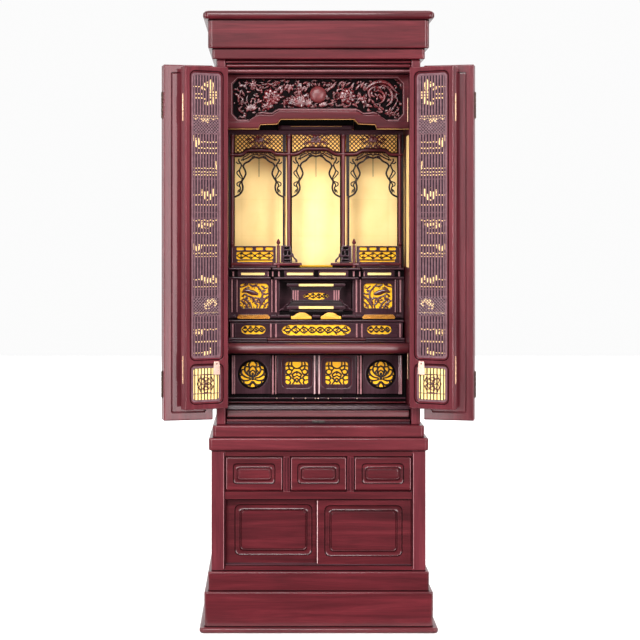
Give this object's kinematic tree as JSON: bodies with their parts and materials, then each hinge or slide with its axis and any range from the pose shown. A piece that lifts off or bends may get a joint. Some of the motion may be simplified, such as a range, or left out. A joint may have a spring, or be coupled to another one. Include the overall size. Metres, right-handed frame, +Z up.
{
  "type": "household altar cabinet",
  "caption": "Floor-standing household altar cabinet in rosewood lacquer: gilded shrine behind folding doors, over drawers and a sliding-door cupboard.",
  "frame": {"origin": "bottom centre of the whole open cabinet's box, on the floor", "axes": "+Z up, -Y out of the front, +X to the viewer's right"},
  "size_m": [0.8216, 0.5426, 1.6184],
  "materials": {
    "rosewood_lacquer": "glossy lacquer over reddish purple rosewood",
    "dark_lacquer": "glossy dark lacquer",
    "carved_wood": "lacquered carving",
    "gold_leaf": "pale gold leaf",
    "hinge_metal": "darkened brass",
    "tag_metal": "pink brass plate"
  },
  "bodies": {
    "cabinet": {"foot": "rosewood_lacquer", "plinth_lower": "rosewood_lacquer", "plinth_upper": "rosewood_lacquer", "lower_front_frame": "rosewood_lacquer", "lower_side_left": "rosewood_lacquer", "lower_side_right": "rosewood_lacquer", "lower_back": "rosewood_lacquer", "lower_floor": "rosewood_lacquer", "lower_shelf": "rosewood_lacquer", "waist_lower": "rosewood_lacquer", "waist_upper": "rosewood_lacquer", "altar_post_left": "rosewood_lacquer", "altar_side_left": "rosewood_lacquer", "altar_post_right": "rosewood_lacquer", "altar_side_right": "rosewood_lacquer", "altar_back": "rosewood_lacquer", "altar_ceiling": "dark_lacquer", "altar_top_rails": "rosewood_lacquer", "cornice_band": "rosewood_lacquer", "cornice_frieze": "rosewood_lacquer", "cornice_crown": "rosewood_lacquer", "transom": "carved_wood", "arcade": "dark_lacquer", "shrine_canopy": "dark_lacquer", "gold_back_panel": "gold_leaf", "balustrade_left": "dark_lacquer", "balustrade_right": "dark_lacquer", "dais_top": "dark_lacquer", "dais_body": "dark_lacquer", "dais_base": "dark_lacquer", "pedestal_table": "dark_lacquer", "altar_deck": "dark_lacquer", "bowed_rail": "rosewood_lacquer", "lower_row_panels": "dark_lacquer", "altar_sill": "dark_lacquer", "front_rail": "rosewood_lacquer", "thin_rail": "rosewood_lacquer", "post_hinge_left_lower": "hinge_metal", "post_hinge_left_upper": "hinge_metal", "post_hinge_right_lower": "hinge_metal", "post_hinge_right_upper": "hinge_metal"},
    "left_outer_leaf": {"outer_door_left_1": "rosewood_lacquer", "fold_hinge_left_lower": "hinge_metal", "fold_hinge_left_upper": "hinge_metal"},
    "left_outer_fold": {"outer_door_left_2": "rosewood_lacquer"},
    "left_lattice_leaf": {"lattice_left_1": "rosewood_lacquer"},
    "left_lattice_fold": {"lattice_left_2": "rosewood_lacquer", "pull_tag_left": "tag_metal"},
    "right_outer_leaf": {"outer_door_right_1": "rosewood_lacquer", "fold_hinge_right_lower": "hinge_metal", "fold_hinge_right_upper": "hinge_metal"},
    "right_outer_fold": {"outer_door_right_2": "rosewood_lacquer"},
    "right_lattice_leaf": {"lattice_right_1": "rosewood_lacquer"},
    "right_lattice_fold": {"lattice_right_2": "rosewood_lacquer", "pull_tag_right": "tag_metal"},
    "left_drawer_box": {"drawer_left": "rosewood_lacquer"},
    "center_drawer_box": {"drawer_center": "rosewood_lacquer"},
    "right_drawer_box": {"drawer_right": "rosewood_lacquer"},
    "left_cupboard_door": {"sliding_door_left": "rosewood_lacquer"},
    "right_cupboard_door": {"sliding_door_right": "rosewood_lacquer"}
  },
  "joints": [
    {"name": "left_outer_hinge", "type": "hinge", "parent": "cabinet", "child": "left_outer_leaf", "pos_m": [-0.2695, -0.19265, 1], "axis": [0, 0, 1], "range_deg": [0, 167]},
    {"name": "left_outer_fold_hinge", "type": "hinge", "parent": "left_outer_leaf", "child": "left_outer_fold", "pos_m": [-0.40722, -0.20469, 1], "axis": [0, 0, 1], "range_deg": [0, 180]},
    {"name": "left_lattice_hinge", "type": "hinge", "parent": "cabinet", "child": "left_lattice_leaf", "pos_m": [-0.2465, -0.18815, 1], "axis": [0, 0, 1], "range_deg": [0, 155]},
    {"name": "left_lattice_fold_hinge", "type": "hinge", "parent": "left_lattice_leaf", "child": "left_lattice_fold", "pos_m": [-0.3509, -0.25697, 1], "axis": [0, 0, -1], "range_deg": [0, 180]},
    {"name": "right_outer_hinge", "type": "hinge", "parent": "cabinet", "child": "right_outer_leaf", "pos_m": [0.2695, -0.19265, 1], "axis": [0, 0, -1], "range_deg": [0, 167]},
    {"name": "right_outer_fold_hinge", "type": "hinge", "parent": "right_outer_leaf", "child": "right_outer_fold", "pos_m": [0.40722, -0.20469, 1], "axis": [0, 0, -1], "range_deg": [0, 180]},
    {"name": "right_lattice_hinge", "type": "hinge", "parent": "cabinet", "child": "right_lattice_leaf", "pos_m": [0.2465, -0.18815, 1], "axis": [0, 0, -1], "range_deg": [0, 155]},
    {"name": "right_lattice_fold_hinge", "type": "hinge", "parent": "right_lattice_leaf", "child": "right_lattice_fold", "pos_m": [0.3509, -0.25697, 1], "axis": [0, 0, 1], "range_deg": [0, 180]},
    {"name": "left_drawer_slide", "type": "slide", "parent": "cabinet", "child": "left_drawer_box", "axis": [0, -1, 0], "range_m": [0, 0.28]},
    {"name": "center_drawer_slide", "type": "slide", "parent": "cabinet", "child": "center_drawer_box", "axis": [0, -1, 0], "range_m": [0, 0.28]},
    {"name": "right_drawer_slide", "type": "slide", "parent": "cabinet", "child": "right_drawer_box", "axis": [0, -1, 0], "range_m": [0, 0.28]},
    {"name": "left_cupboard_slide", "type": "slide", "parent": "cabinet", "child": "left_cupboard_door", "axis": [1, 0, 0], "range_m": [0, 0.238]},
    {"name": "right_cupboard_slide", "type": "slide", "parent": "cabinet", "child": "right_cupboard_door", "axis": [-1, 0, 0], "range_m": [0, 0.238]}
  ],
  "couplings": [
    {"joint": "left_lattice_hinge", "follows": "left_outer_hinge", "ratio": 0.92814},
    {"joint": "left_lattice_fold_hinge", "follows": "left_outer_hinge", "ratio": 1.0778},
    {"joint": "right_lattice_hinge", "follows": "right_outer_hinge", "ratio": 0.92814},
    {"joint": "right_lattice_fold_hinge", "follows": "right_outer_hinge", "ratio": 1.0778}
  ]
}
